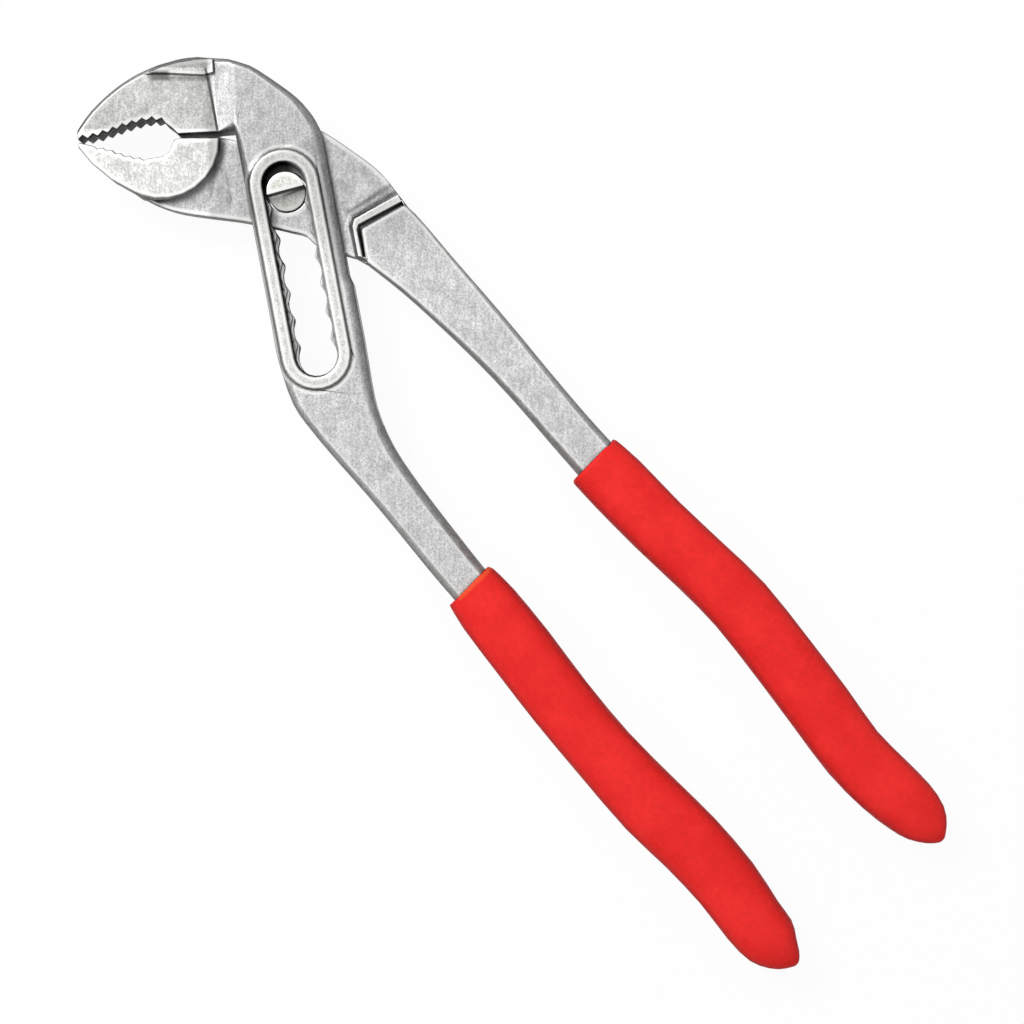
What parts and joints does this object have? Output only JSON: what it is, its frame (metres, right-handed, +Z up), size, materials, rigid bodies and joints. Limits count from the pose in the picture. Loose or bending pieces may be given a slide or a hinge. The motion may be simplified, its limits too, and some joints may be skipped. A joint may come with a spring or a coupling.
{
  "type": "water pump pliers",
  "caption": "Slip-joint water pump pliers with a box joint: slotted arm, crossing inner arm, half-moon pin and dipped handle grips.",
  "frame": {"origin": "centre of the tool's bounding box, on the surface that it lies flat on, with the jaws closed", "axes": "+X from the jaws to the ends of the handles, +Y from the box arm's handle towards the inner arm's handle, +Z up, square to the flat of the tool"},
  "size_m": [0.2504, 0.0694, 0.013],
  "materials": {
    "forged_steel": "satin, fine blasted grain",
    "pin_steel": "turned and milled, bright",
    "red_vinyl": "smooth dipped vinyl, slight sheen"
  },
  "bodies": {
    "box_arm": {"box_arm": "forged_steel", "box_arm_grip": "red_vinyl"},
    "pin": {"pivot_pin": "pin_steel"},
    "inner_arm": {"inner_arm": "forged_steel", "inner_arm_grip": "red_vinyl"}
  },
  "joints": [
    {"name": "slot_slide", "type": "slide", "parent": "box_arm", "child": "pin", "axis": [0.8171, -0.5764, 0], "range_m": [0, 0.0372]},
    {"name": "jaw_hinge", "type": "hinge", "parent": "pin", "child": "inner_arm", "pos_m": [-0.08128, 0.01694, 0.0065], "axis": [0, 0, 1], "range_deg": [0, 60]}
  ]
}
